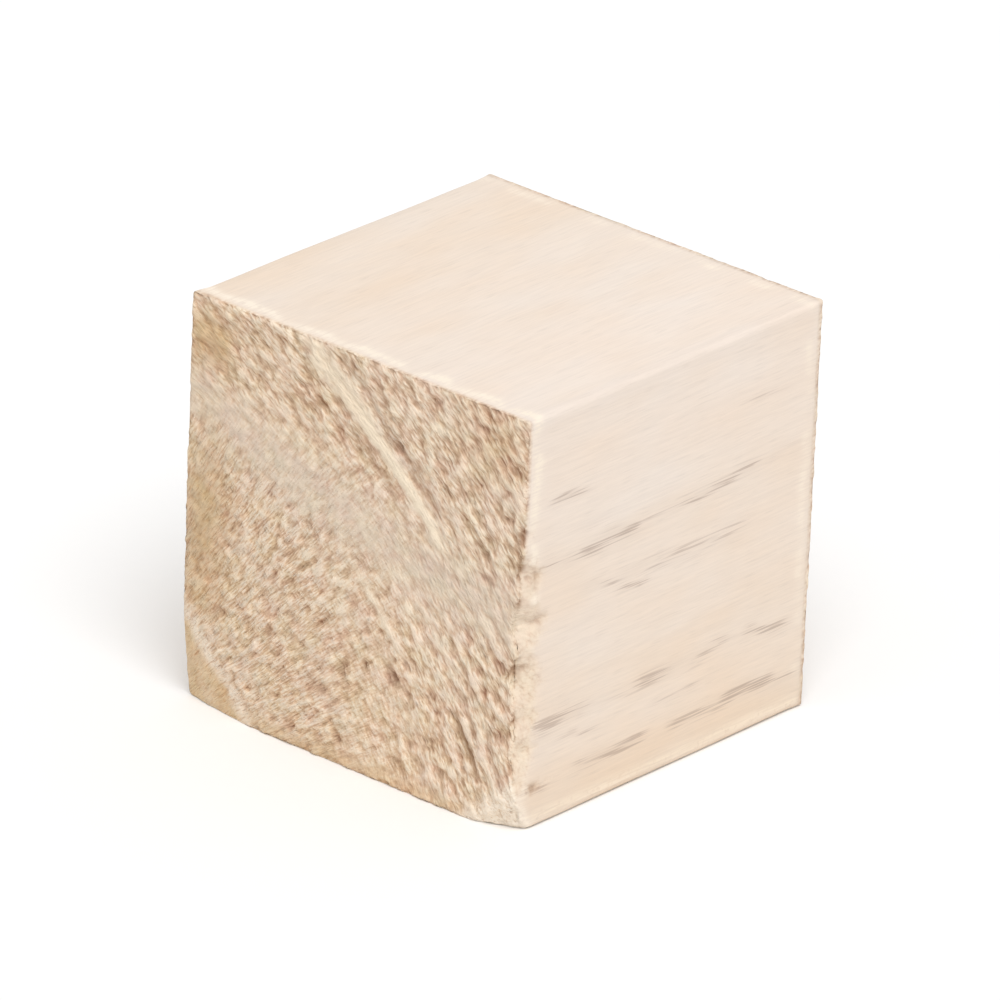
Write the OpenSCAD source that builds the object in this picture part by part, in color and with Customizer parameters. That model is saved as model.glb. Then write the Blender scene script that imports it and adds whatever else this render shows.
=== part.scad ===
// A plain craft cube of unfinished pine: one short length sawn from a planed square stick.
// The stick lies along Y, so its growth rings show on the two sawn ends, which face -Y and +Y,
// and the four planed faces carry the long grain.
// The origin is the middle of the underside, with +Z up and +X to the right of the front end.

/* [Stick] */
// Planed width of the stick, side to side
stick_width = 25.4; // [12:0.1:60]
// Planed height of the stick, underside to top
stick_height = 25.4; // [12:0.1:60]
// Length sawn off the stick, along the grain
cut_length = 25.4; // [12:0.1:60]

/* [Edges] */
// Radius left by the planer along the four long edges
planed_edge_radius = 0.4; // [0.1:0.05:1.5]
// Radius left by rubbing round the rim of each sawn end
sawn_edge_radius = 0.25; // [0.1:0.05:1]

/* [Right foot knock] */
// Reach of the knock at the front end's lower right corner, across the end
right_knock_width = 3.8; // [1:0.1:6]
// Reach of the same knock back along the grain
right_knock_length = 2; // [1:0.1:6]
// Reach of the same knock up the corner
right_knock_height = 3.1; // [1:0.1:6]

/* [Left foot knock] */
// Reach of the knock at the front end's lower left corner, across the end
left_knock_width = 6.3; // [1:0.1:8]
// Reach of the same knock back along the grain
left_knock_length = 0.9; // [0.5:0.1:6]
// Reach of the same knock up the corner
left_knock_height = 6.4; // [1:0.1:8]

/* [Worn arris] */
// Width of the wear on the front end, at the foot of its right-hand edge
arris_wear_width = 0.7; // [0.5:0.1:2]
// Depth of the same wear on the right face, at the foot
arris_wear_length = 0.9; // [0.5:0.1:2]
// Height at which the wear has run out, above the underside
arris_wear_height = 16; // [4:0.5:24]

/* [Hidden] */
$fn = 64;
half_width = stick_width / 2;
half_length = cut_length / 2;
cutter_size = 2 * max(stick_width, stick_height, cut_length);
LEFT = -1;
RIGHT = 1;

// A centred rectangle with true round corners
module rounded_rectangle(width, height, radius) {
    square([width - 2 * radius, height], center = true);
    square([width, height - 2 * radius], center = true);
    for (side = [LEFT, RIGHT], end = [-1, 1])
        translate([side * (width / 2 - radius), end * (height / 2 - radius)])
            circle(r = radius);
}

// The planed stick, running through both sawn ends
module planed_stick() {
    translate([0, 0, stick_height / 2])
        rotate([90, 0, 0])
            linear_extrude(cut_length, center = true)
                rounded_rectangle(stick_width, stick_height, planed_edge_radius);
}

// The stick's outline from above, which rounds the upright edges of the sawn ends
module outline_from_above() {
    linear_extrude(stick_height)
        rounded_rectangle(stick_width, cut_length, sawn_edge_radius);
}

// The stick's outline from the side, which rounds the level edges of the sawn ends
module outline_from_side() {
    translate([0, 0, stick_height / 2])
        rotate([90, 0, 90])
            linear_extrude(stick_width, center = true)
                rounded_rectangle(cut_length, stick_height, sawn_edge_radius);
}

// A block whose flat face passes through three points, one on each edge that meets at a
// bottom corner of the front end, at these reaches from the corner
module corner_cutter(side, width, length, height) {
    normal = [1 / width, 1 / length, 1 / height];
    depth = 1 / norm(normal);
    level = norm([normal.x, normal.y]);
    turn = side == RIGHT ? -atan2(normal.y, normal.x) : -180 + atan2(normal.y, normal.x);
    translate([side * half_width, -half_length, 0])
        rotate([0, atan2(normal.z, level), turn])
            translate([-depth, -cutter_size / 2, -cutter_size / 2])
                cube(cutter_size);
}

module wooden_cube() {
    color("burlywood")
        difference() {
            intersection() {
                planed_stick();
                outline_from_above();
                outline_from_side();
            }
            corner_cutter(RIGHT, right_knock_width, right_knock_length, right_knock_height);
            corner_cutter(LEFT, left_knock_width, left_knock_length, left_knock_height);
            corner_cutter(RIGHT, arris_wear_width, arris_wear_length, arris_wear_height);
        }
}

wooden_cube();
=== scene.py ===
"""A plain craft cube of unfinished pine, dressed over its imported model.

The cube is one block, sawn from a planed square stick.  The stick lay along Y, so the two sawn
ends face -Y and +Y and show the growth rings, and the other four faces show the long grain.
Sizes in the classes below are in millimetres.  A vector is a place from the cube's centre, and a
single X, Y or Z is from the cube's middle, its front end or its underside.  They are turned to
metres when the mesh is finished.
"""

import logging
import math
from dataclasses import dataclass, field, fields
from enum import Enum, IntEnum

import bmesh
import bpy
from mathutils import Matrix, Vector, noise


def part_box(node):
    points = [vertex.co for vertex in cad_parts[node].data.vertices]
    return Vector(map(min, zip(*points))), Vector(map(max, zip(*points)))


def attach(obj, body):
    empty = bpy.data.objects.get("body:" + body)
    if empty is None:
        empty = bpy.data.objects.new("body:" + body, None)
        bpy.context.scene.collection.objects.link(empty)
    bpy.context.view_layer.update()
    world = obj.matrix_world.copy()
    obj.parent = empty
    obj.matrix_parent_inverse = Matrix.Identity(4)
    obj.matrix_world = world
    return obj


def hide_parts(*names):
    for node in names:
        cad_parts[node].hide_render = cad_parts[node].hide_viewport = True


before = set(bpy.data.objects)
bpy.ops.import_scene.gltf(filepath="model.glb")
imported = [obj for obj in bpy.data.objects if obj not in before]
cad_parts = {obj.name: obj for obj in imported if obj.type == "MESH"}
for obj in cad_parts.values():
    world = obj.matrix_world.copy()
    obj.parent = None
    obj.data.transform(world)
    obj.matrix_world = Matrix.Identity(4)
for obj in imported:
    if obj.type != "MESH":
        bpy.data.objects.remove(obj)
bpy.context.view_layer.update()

log = logging.getLogger("wooden_cube")

Tree = bpy.types.NodeTree
Socket = bpy.types.NodeSocket

MM = 0.001
NODE_NAME = "wooden_cube"
BODY_NAME = "root"
AXES = (0, 1, 2)
WHITE = (1.0, 1.0, 1.0, 1.0)
# The mesh notes each resin streak softly, and the finish raises it to this power to sharpen it.
STREAK_SHARPNESS = 4.0
# Torn fibres turn from the rays to the growth rings over these spans of X and of height.
TURN_ACROSS = (-3.0, 7.0)
TURN_UP = (17.0, 21.0)
# A Mix node keeps its sockets for colours and for numbers side by side.
SHARE, NUMBER_A, NUMBER_B, COLOUR_A, COLOUR_B, MIXED_COLOUR = 0, 2, 3, 6, 7, 2
# Nearly all the values of a noise node lie in this span.
NOISE_SPAN = {"From Min": 0.3, "From Max": 0.7}


def linear(hex_colour: str) -> tuple[float, float, float, float]:
    """Turn an sRGB hex colour to the linear RGBA that a shader takes.

    Args:
        hex_colour: the colour as written, such as "#EDDCCC".

    Returns:
        Red, green, blue and an alpha of 1.
    """
    parts = [int(hex_colour[at:at + 2], 16) / 255 for at in (1, 3, 5)]
    low, slope, offset, power = 0.04045, 12.92, 0.055, 2.4
    curved = [p / slope if p <= low else ((p + offset) / (1 + offset)) ** power for p in parts]
    return (*curved, 1.0)


def clamp(value: float, low: float = 0.0, high: float = 1.0) -> float:
    """Keep a value between two limits."""
    return min(max(value, low), high)


def ramp(low: float, high: float, value: float) -> float:
    """Rise smoothly from 0 at low to 1 at high, or fall where low is the larger."""
    share = clamp((value - low) / (high - low))
    return share * share * (3 - 2 * share)


def bell(distance: float, width: float) -> float:
    """Give a smooth bump that is 1 at distance 0 and fades out over about the width."""
    return math.exp(-((distance / width) ** 2))


def stretch(value: float, start: float, end: float, taper: float) -> float:
    """Give 1 between start and end, fading out over the taper beyond each."""
    return bell(max(start - value, value - end, 0.0), taper)


def between(share: float) -> float:
    """Give 1 half way between 0 and 1, falling to 0 at both."""
    return 4 * share * (1 - share)


def gritty(place: Vector, size: float) -> float:
    """Give rough noise for grains of a size, in layers that halve in size."""
    dimension, lacunarity, layers = 0.8, 2.0, 3
    return noise.fractal(place / size, dimension, lacunarity, layers)


def past(distance: float, blend: float) -> float:
    """Give how far a distance is past 0, easing in over about the blend on either side."""
    exponent = min(distance / blend, 40.0)  # held where the exponential can't overflow
    return blend * math.log1p(math.exp(exponent))


def finished(name: str, shape: bmesh.types.BMesh) -> bpy.types.Object:
    """Turn a finished shape into an object of the scene, at the origin.

    Args:
        name: what to call the object.
        shape: its shape, which is freed.

    Returns:
        The object.
    """
    mesh = bpy.data.meshes.new(name)
    shape.to_mesh(mesh)
    shape.free()
    return put_in_scene(mesh)


def put_in_scene(data: bpy.types.ID) -> bpy.types.Object:
    """Make an object of a mesh, a lamp or a camera, and link it to the scene.

    Args:
        data: the mesh, lamp or camera.

    Returns:
        The object, which has the data's name.
    """
    item = bpy.data.objects.new(data.name, data)
    bpy.context.scene.collection.objects.link(item)
    return item


def blank(user: bpy.types.ID) -> Tree:
    """Give a new material or world a node tree with nothing in it.

    Args:
        user: the material or world.

    Returns:
        Its tree.
    """
    user.use_nodes = True
    user.node_tree.nodes.clear()
    return user.node_tree


def add(
    tree: Tree,
    kind: str,
    inputs: dict[int | str, object] | None = None,
    output: int | str = 0,
    **settings: object,
) -> Socket | None:
    """Add one shader node with its settings and links.

    Args:
        tree: the tree to add it to.
        kind: the node's type, after "ShaderNode".
        inputs: a value or another node's socket for each input, by its name or number.
        output: the name or number of the output that is wanted.
        settings: the node's own settings.

    Returns:
        The wanted output's socket, or None for the node that ends a tree.
    """
    node = tree.nodes.new("ShaderNode" + kind)
    for name, value in settings.items():
        setattr(node, name, value)
    for key, value in (inputs or {}).items():
        if isinstance(value, Socket):
            tree.links.new(value, node.inputs[key])
        else:
            node.inputs[key].default_value = value
    return node.outputs[output] if node.outputs else None


class Side(Enum):
    """The six faces of the cube, each as the axis that it faces along and the sign."""

    LEFT = (0, -1)
    RIGHT = (0, 1)
    FRONT_END = (1, -1)
    BACK_END = (1, 1)
    BASE = (2, -1)
    TOP = (2, 1)

    @classmethod
    def facing(cls, normal: Vector) -> "Side":
        """Find the side that a face of the undressed block belongs to.

        Args:
            normal: the face's outward normal.

        Returns:
            The side whose direction is nearest.
        """
        axis = max(AXES, key=lambda a: abs(normal[a]))
        return cls((axis, 1 if normal[axis] > 0 else -1))

    @property
    def sign(self) -> int:
        """Give 1 for a side that faces along its axis, and -1 for one that faces back."""
        return self.value[1]


class NoiseDepth(IntEnum):
    """How deep in the noise each pattern lies, so that no two patterns are alike."""

    SPLINTERS = 0
    WORN_EDGE = 3
    RINGWISE = 5
    SWELLS = 9
    TUFTS = 13
    RIM = 17
    BACK_END = 20
    BAND = 31
    STAIN = 41


@dataclass(frozen=True)
class GrowthRings:
    """Where the stick lay in the tree: its rings are circles round a pith that runs along Y.

    The pith is well outside the cube, low and to the left as the front end is faced.  The early
    wood starts a little outside each ring's line, and ends before the next.
    """

    pith_x: float = -33.8
    pith_z: float = -21.8
    spacing: float = 5.08
    line_radius: float = 55.6
    line_width: float = 0.26
    early_starts: tuple[float, float] = (0.2, 0.7)
    early_ends: tuple[float, float] = (2.4, 1.6)

    def radius(self, x: float, z: float) -> float:
        """Give the distance from the pith to a place."""
        return math.hypot(x - self.pith_x, z - self.pith_z)

    def sweep(self, x: float, z: float) -> float:
        """Give how far round the tree a place lies, as an arc at the clearest ring line."""
        return math.atan2(z - self.pith_z, x - self.pith_x) * self.line_radius

    def from_line(self, radius: float) -> float:
        """Give the distance from a radius to the nearest ring line."""
        turns = (radius - self.line_radius) / self.spacing
        return (turns - round(turns)) * self.spacing

    def line(self, radius: float) -> float:
        """Give how near a radius is to a ring line, from 0 to 1 on the line."""
        return bell(self.from_line(radius), self.line_width)

    def early(self, radius: float) -> float:
        """Give how far a radius is in the early wood of its ring, from 0 to 1."""
        from_line = self.from_line(radius)
        return ramp(*self.early_starts, from_line) * ramp(*self.early_ends, from_line)


@dataclass(frozen=True)
class RingMark:
    """A stretch of one growth ring that shows on the front end as a fine line."""

    radius: float
    x_from: float
    x_to: float
    width: float
    paleness: float
    rise: float
    taper: float = 0.9

    def at(self, x: float, radius: float) -> float:
        """Give how strongly the line shows at a place, from 0 to 1."""
        shown = stretch(x, self.x_from, self.x_to, self.taper)
        return bell(radius - self.radius, self.width) * shown


@dataclass(frozen=True)
class PaintedRimLine:
    """A pale painted highlight or a dark painted shadow along the base or the top of the front
    end.

    Its height is from the base, or below 0 where it is counted down from the top.
    """

    height: float
    width: float
    paleness: float
    x_from: float = -math.inf
    x_to: float = math.inf
    taper: float = 2.0

    def at(self, x: float, z: float, top: float) -> float:
        """Give how strongly the line shows at a place, from 0 to 1."""
        level = self.height if self.height > 0 else top + self.height
        return bell(z - level, self.width) * stretch(x, self.x_from, self.x_to, self.taper)


@dataclass(frozen=True)
class Pit:
    """A small place on the front end where a bundle of fibres tore out."""

    x: float
    z: float
    size: float
    depth: float
    cutoff: float = 4.0
    raggedness: float = 0.3
    rag_size: float = 0.4

    def at(self, x: float, z: float) -> float:
        """Give the pit's depth at a place, with a ragged rim.

        Args:
            x: the place across the end.
            z: its height.

        Returns:
            The depth, which is 0 well outside the pit.
        """
        if max(abs(x - self.x), abs(z - self.z)) > self.cutoff * self.size:
            return 0.0
        rags = Vector((x, z, self.x)) / self.rag_size
        warp_x, warp_z = (self.raggedness * noise.noise(spot) for spot in (rags, rags.yzx))
        return self.depth * bell(math.hypot(x + warp_x - self.x, z + warp_z - self.z), self.size)


@dataclass(frozen=True)
class Patch:
    """A soft-edged patch of the front end, such as a stain or a rougher place."""

    x: float
    z: float
    reach_x: float
    reach_z: float
    strength: float

    def at(self, x: float, z: float) -> float:
        """Give how strongly the patch shows at a place."""
        away = math.hypot((x - self.x) / self.reach_x, (z - self.z) / self.reach_z)
        return self.strength * bell(away, 1.0)


@dataclass(frozen=True)
class RubbedBand:
    """A sagging band across the front end that the passing saw blade rubbed smooth."""

    left_height: float = 19.9
    slope: float = -0.45
    bend: float = 0.0075
    half_width: float = 2.2
    strength: float = 0.85
    raggedness: float = 0.5
    rag_length: float = 2.0
    rag_height: float = 0.9

    def at(self, from_left: float, z: float) -> float:
        """Give how smooth the band is at a place.

        Args:
            from_left: how far the place is from the end's left edge.
            z: its height.

        Returns:
            A number from 0 to 1.
        """
        height = self.left_height + (self.slope + self.bend * from_left) * from_left
        rags = Vector((from_left / self.rag_length, z / self.rag_height, NoiseDepth.BAND))
        ragged = 1 + self.raggedness * noise.noise(rags)
        return clamp(self.strength * ragged * bell(z - height, self.half_width))


@dataclass(frozen=True)
class TornFibres:
    """Torn fibres of one size on the ends: how long and thick they are, and how much they show."""

    long: float
    thick: float
    share: float

    def at(self, radius: float, sweep: float, end: int, along_rings: float) -> float:
        """Give the fibres' relief, drawn out along the rays or along the rings.

        Args:
            radius: the place's distance from the pith.
            sweep: how far round the tree it lies.
            end: the depth in the noise that sets the two ends apart.
            along_rings: 0 to draw it out along the rays and 1 along the rings.

        Returns:
            The relief, from -1 to 1.
        """
        on_rays = noise.noise(Vector((radius / self.long, sweep / self.thick, end)))
        ringwise = Vector((radius / self.thick, sweep / self.long, end + NoiseDepth.RINGWISE))
        return on_rays + (noise.noise(ringwise) - on_rays) * along_rings


@dataclass(frozen=True)
class SawnSkin:
    """The relief that a coarse saw leaves on the ends, across the grain.

    The fibres of pine tear out in small bundles.  At the left they follow the rays out from the
    pith, and at the right they follow the rings.  Bundles, strings, tufts, splinters and broad
    swells each take a share of the tearing, round a mean.
    """

    rings: GrowthRings
    tear_depth: float = 0.28
    mean: float = 0.45
    bundles: TornFibres = TornFibres(1.25, 0.56, 0.5)
    strings: TornFibres = TornFibres(1.5, 0.3, 0.3)
    crest: float = 0.5
    crease: float = 2.2
    tuft: float = 0.5
    tuft_share: float = 0.34
    splinter: float = 0.24
    splinter_share: float = 0.24
    swell: float = 3.3
    swell_share: float = 0.15
    line_rise: float = 0.03
    line_paleness: float = 0.08
    back_line_paleness: float = 0.3
    line_smoothness: float = 0.6
    early_smoothness: float = 0.2
    back_early_smoothness: float = 0.6
    burnish_fill: float = 0.55
    stain_patchiness: float = 0.35
    stain_patch: float = 1.2
    band: RubbedBand = RubbedBand()
    # Each is its height, its width and its paleness, and the X where it starts and ends.
    # The pale ones are painted highlights along the rims, and the dark one a painted shadow under
    # the top rim.
    rims: tuple[PaintedRimLine, ...] = (
        PaintedRimLine(0.5, 0.4, 0.35),
        PaintedRimLine(-0.2, 0.2, 0.1),
        PaintedRimLine(-1.0, 0.4, -0.15, -9.5, -1.5),
    )
    # Each is its radius, the X where it starts and ends, its width, its paleness and its rise.
    # The pale lines at 55.45 and 55.7 are partly a painted highlight where the ring stands proud,
    # and the dark lines close inside and outside them are painted shadow.
    marks: tuple[RingMark, ...] = (
        RingMark(55.45, 1.6, 5.9, 0.36, 1.2, 0.06),
        RingMark(55.7, -3.0, 0.4, 0.85, 0.8, 0.03, taper=1.2),
        RingMark(56.95, -3.2, 1.4, 0.55, -0.25, -0.03, taper=0.8),
        RingMark(56.6, 2.8, 6.0, 0.40, -0.38, -0.04),
        RingMark(54.3, -0.2, 2.4, 0.40, -0.28, -0.03),
        RingMark(50.4, 8.7, 9.5, 0.28, -1.0, -0.12, taper=0.5),
        RingMark(48.35, 1.0, 3.2, 0.28, 0.6, 0.05),
        RingMark(51.6, 5.6, 7.3, 0.26, 0.35, 0.03),
    )
    # Each is its X, its height, its size and its depth.
    pits: tuple[Pit, ...] = (
        Pit(3.3, 6.7, 0.38, 0.38),
        Pit(-0.6, 1.7, 0.33, 0.22),
        Pit(-0.4, 6.1, 0.31, 0.20),
        Pit(-3.4, 6.4, 0.30, 0.19),
        Pit(-2.0, 4.4, 0.30, 0.18),
        Pit(-4.2, 1.2, 0.31, 0.17),
        Pit(1.3, 7.0, 0.30, 0.18),
        Pit(6.3, 3.5, 0.34, 0.20),
        Pit(4.5, 6.1, 0.28, 0.18),
        Pit(-9.7, 6.4, 0.32, 0.16),
        Pit(-8.1, 15.7, 0.32, 0.18),
        Pit(-3.5, 14.0, 0.32, 0.18),
        Pit(0.7, 13.0, 0.32, 0.16),
        Pit(10.2, 14.9, 0.40, 0.26),
        Pit(9.9, 16.5, 0.34, 0.22),
        Pit(3.2, 20.9, 0.34, 0.24),
        Pit(5.6, 24.3, 0.36, 0.22),
        Pit(11.9, 22.1, 0.42, 0.20),
        Pit(11.6, 19.1, 0.40, 0.22),
        Pit(11.7, 10.0, 0.45, 0.22),
        Pit(11.5, 6.0, 0.45, 0.24),
    )
    # Each patch is its X, its height, its reach across and up, and its strength.
    rough: tuple[Patch, ...] = (
        Patch(-4.0, 21.8, 5.5, 2.6, 0.35),
        Patch(-1.0, 10.5, 5.0, 3.5, 0.13),
        Patch(10.4, 10.2, 3.0, 3.0, 0.35),
        Patch(9.5, 3.5, 3.0, 2.5, 0.35),
    )
    smooth: tuple[Patch, ...] = (
        Patch(-10.9, 22.7, 1.5, 1.7, 0.85),
        Patch(-11.5, 12.5, 1.6, 5.0, 0.70),
    )
    # Browning by age; along the left edge it is partly painted shade and warm light reflected from
    # the next cube.
    stains_and_reflections: tuple[Patch, ...] = (
        Patch(-11.2, 22.9, 1.8, 1.7, 1.3),
        Patch(-11.3, 12.2, 1.9, 4.6, 1.0),
        Patch(10.3, 23.2, 3.2, 2.4, 0.45),
        Patch(-4.0, 21.8, 5.0, 2.2, 0.2),
        Patch(-11.2, 7.2, 2.0, 2.0, 0.35),
    )

    def burnish(self, x: float, z: float, half_width: float, front: bool) -> float:
        """Give how smooth an end was left at a place.

        Args:
            x: the place across the end.
            z: its height.
            half_width: half the cube's width.
            front: whether it is on the front end.

        Returns:
            A number from 0, torn, to 1, smooth.
        """
        radius = self.rings.radius(x, z)
        early = self.rings.early(radius)
        if not front:
            return self.back_early_smoothness * early
        lines = sum(max(m.paleness, 0.0) * m.at(x, radius) for m in self.marks)
        shares = [self.early_smoothness * early, self.line_smoothness * lines]
        shares += [self.band.at(x + half_width, z), *(patch.at(x, z) for patch in self.smooth)]
        return clamp(max(shares))

    def stain_and_reflection(self, x: float, z: float) -> float:
        """Give how browned the front end is: by age, and by its left edge by painted shade and
        reflection.

        Args:
            x: the place across the end.
            z: its height.

        Returns:
            A number from 0 to 1.
        """
        patchy = noise.noise(Vector((x, z, NoiseDepth.STAIN)) / self.stain_patch)
        stains_and_reflections = sum(patch.at(x, z) for patch in self.stains_and_reflections)
        return clamp((1 + self.stain_patchiness * patchy) * stains_and_reflections)

    def mark(self, x: float, z: float, height: float, front: bool) -> float:
        """Give how pale or dark a place is from ring lines and from painted highlights and shadow
        at the rims.

        Args:
            x: the place across the end.
            z: its height.
            height: the cube's height.
            front: whether it is on the front end.

        Returns:
            A number below 0 where it is dark and above 0 where it is pale.
        """
        radius = self.rings.radius(x, z)
        line = self.rings.line(radius)
        if not front:
            return self.back_line_paleness * line
        lines = self.line_paleness * line + sum(m.paleness * m.at(x, radius) for m in self.marks)
        return lines + sum(rim.paleness * rim.at(x, z, height) for rim in self.rims)

    def depth(self, x: float, z: float, half_width: float, front: bool) -> float:
        """Give how far the saw tore the skin in at a place.

        Args:
            x: the place across the end.
            z: its height.
            half_width: half the cube's width.
            front: whether it is on the front end.

        Returns:
            A depth, never less than 0.
        """
        radius, sweep = self.rings.radius(x, z), self.rings.sweep(x, z)
        end = 0 if front else NoiseDepth.BACK_END
        along_rings = max(ramp(*TURN_ACROSS, x), ramp(*TURN_UP, z))
        bundles = self.bundles.at(radius, sweep, end, along_rings)
        strings = self.strings.at(radius, sweep, end, along_rings)
        # A fold in the noise makes a sharp crease, as between two strings of fibre.
        creased = self.crest - self.crease * abs(strings)
        tufts = noise.noise(Vector((x, z, end + NoiseDepth.TUFTS)) / self.tuft)
        splinters = noise.noise(Vector((x, z, end + NoiseDepth.SPLINTERS)) / self.splinter)
        swells = noise.noise(Vector((x / self.swell, z / self.swell, end + NoiseDepth.SWELLS)))
        rough = sum(patch.at(x, z) for patch in self.rough) if front else 0.0
        uneven = (self.bundles.share + rough) * bundles + self.strings.share * creased
        uneven += self.tuft_share * tufts
        uneven += self.splinter_share * splinters + self.swell_share * swells
        torn = 1 - self.burnish_fill * self.burnish(x, z, half_width, front)
        depth = self.tear_depth * (self.mean + uneven) * torn
        depth -= self.line_rise * self.rings.line(radius)
        if front:
            depth -= sum(m.rise * m.at(x, radius) for m in self.marks)
            depth += sum(p.at(x, z) for p in self.pits)
        return max(depth, 0.0)


@dataclass(frozen=True)
class Knock:
    """A bottom corner of the front end, pressed in to a slanting face.

    The width, length and height are how far the knock runs from the corner along each edge.  The
    scuffed span is how far past its face the corner stood where scuffing starts to show, and
    where it shows fully.  The rub says how far the face is rubbed pale, the rim how much paler its
    border is, partly rubbed and partly a painted highlight, the wear how much of the saw's tearing
    is gone, and the age how far it has browned.
    """

    side: Side
    width: float
    length: float
    height: float
    roughness: float
    grain: float
    scuffed: tuple[float, float]
    bulge: float = 0.0
    rub: float = 1.0
    rim: float = 0.0
    wear: float = 0.0
    age: float = 0.0
    blend: float = 0.08
    cutoff: float = 1.5
    rim_patchiness: float = 0.7
    rim_patch: float = 0.9
    age_patchiness: float = 0.4
    age_patch: float = 1.2

    def press(self, shaped: Vector, place: Vector, half: Vector) -> tuple[Vector, float]:
        """Press a place of the skin in to the slanting face, if it lies outside that face.

        Args:
            shaped: the place as the skin stands so far.
            place: the same place on the true box.
            half: the cube's half sizes.

        Returns:
            The pressed place, and how far into the knock it is, from 0 to 1.
        """
        sign = self.side.sign
        normal = Vector((sign / self.width, -1 / self.length, -1 / self.height)).normalized()
        reach = Vector((sign * half.x, self.length - half.y, -half.z))
        proud = (shaped - reach).dot(normal)
        if proud < -self.cutoff:
            return shaped, 0.0
        uneven = self.roughness * gritty(shaped, self.grain)
        uneven -= self.bulge * bell((shaped - reach).length, self.width)
        pressed = past(proud + uneven, self.blend)
        share = ramp(*self.scuffed, (place - reach).dot(normal) + uneven)
        return shaped - normal * pressed, share

    def rubbed_and_highlit(self, share: float, place: Vector) -> float:
        """Give how pale a place is: rubbed on the knock, and round its border partly a painted
        highlight.
        """
        patchy = 1 + self.rim_patchiness * noise.noise(place / self.rim_patch)
        return self.rub * share + self.rim * patchy * between(share)

    def browned(self, share: float, place: Vector) -> float:
        """Give how far a place has browned, which is patchy and strongest well inside."""
        patchy = 1 + self.age_patchiness * noise.noise(place / self.age_patch)
        return self.age * share ** 3 * patchy


@dataclass(frozen=True)
class WornEdge:
    """The upright edge between the front end and the right face, rubbed to a ragged strip.

    The strip slants across the edge.  It reaches further on to the right face than on to the end.
    The rub, the bareness, the wear and the age say how far it is rubbed pale, how far it looks
    sawn, how much of the saw's tearing is gone from it, and how far it has browned.
    """

    front_reach: float = 0.5
    side_reach: float = 1.7
    z_from: float = 5.0
    z_to: float = 14.5
    taper: float = 2.6
    roughness: float = 0.12
    grain: float = 0.6
    blend: float = 0.05
    cutoff: float = 3.0
    raggedness: float = 0.4
    rag_height: float = 1.7
    scuff: float = 0.12
    rub: float = 0.35
    bareness: float = 0.55
    wear: float = 0.45
    age: float = 0.2

    def press(self, place: Vector, half: Vector) -> tuple[Vector, float]:
        """Press a place of the skin in to the worn strip, if it lies outside the strip.

        Args:
            place: the place as the skin stands so far.
            half: the cube's half sizes.

        Returns:
            The pressed place, and how worn it is, from 0 to about 1.
        """
        across = Vector((1 / self.front_reach, -1 / self.side_reach, 0))
        outward, whole = across.normalized(), 1 / across.length
        from_edge = (place - Vector((half.x, -half.y, 0))).dot(outward)
        if from_edge < -self.cutoff * whole:
            return place, 0.0
        z = place.z + half.z
        rags = Vector((z / self.rag_height, NoiseDepth.WORN_EDGE, NoiseDepth.WORN_EDGE))
        share = stretch(z, self.z_from, self.z_to, self.taper)
        share *= 1 + self.raggedness * noise.noise(rags)
        proud = from_edge + whole * share + self.roughness * gritty(place, self.grain)
        pressed = past(proud, self.blend) * share
        return place - outward * pressed, ramp(-self.scuff, self.scuff, proud) * share


@dataclass(frozen=True)
class Nick:
    """A small dark dent in, or just behind, the edge between the front end and the right face.

    It is somewhat longer along the grain than it is high.
    """

    z: float
    size: float
    depth: float
    y: float = 0.0
    darkness: float = 0.7
    bareness: float = 0.75
    cutoff: float = 3.0
    flattening: float = 0.6
    raggedness: float = 0.8
    rag_size: float = 0.4

    def at(self, place: Vector, half: Vector) -> float:
        """Give how far into the dent a place is.

        Args:
            place: the place on the true box.
            half: the cube's half sizes.

        Returns:
            A number from 0, outside it, to 1, at its middle.
        """
        away = place - Vector((half.x, self.y - half.y, self.z - half.z))
        away.y *= self.flattening
        if away.length > self.cutoff * self.size:
            return 0.0
        ragged = 1 + self.raggedness * noise.noise(place / self.rag_size)
        return bell(away.length * ragged, self.size)

    def push(self, share: float) -> Vector:
        """Give the way in towards the cube's upright axis, for a share of the dent's depth."""
        return Vector((-1, 1, 0)).normalized() * (self.depth * share)


@dataclass(frozen=True)
class ResinStreak:
    """A thin brown streak that runs along the grain on the right face."""

    y_from: float
    y_to: float
    z_from: float
    z_to: float
    strength: float
    thickness: float = 0.30
    taper: float = 1.2
    waver: float = 0.2
    waver_length: float = 1.9
    noise_step: float = 3.0

    def at(self, y: float, z: float) -> float:
        """Give how strongly the streak shows at a place, before the finish sharpens it.

        Args:
            y: the place along the grain.
            z: its height.

        Returns:
            A number from 0 to 1.
        """
        share = clamp((y - self.y_from) / (self.y_to - self.y_from))
        own_noise = (y / self.waver_length, self.z_from * self.noise_step, self.y_from)
        centre = self.z_from + share * (self.z_to - self.z_from)
        centre += self.waver * noise.noise(Vector(own_noise))
        soft = math.sqrt(STREAK_SHARPNESS)
        shown = bell(z - centre, self.thickness * soft)
        shown *= stretch(y, self.y_from, self.y_to, self.taper * soft)
        return self.strength ** (1 / STREAK_SHARPNESS) * shown


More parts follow.
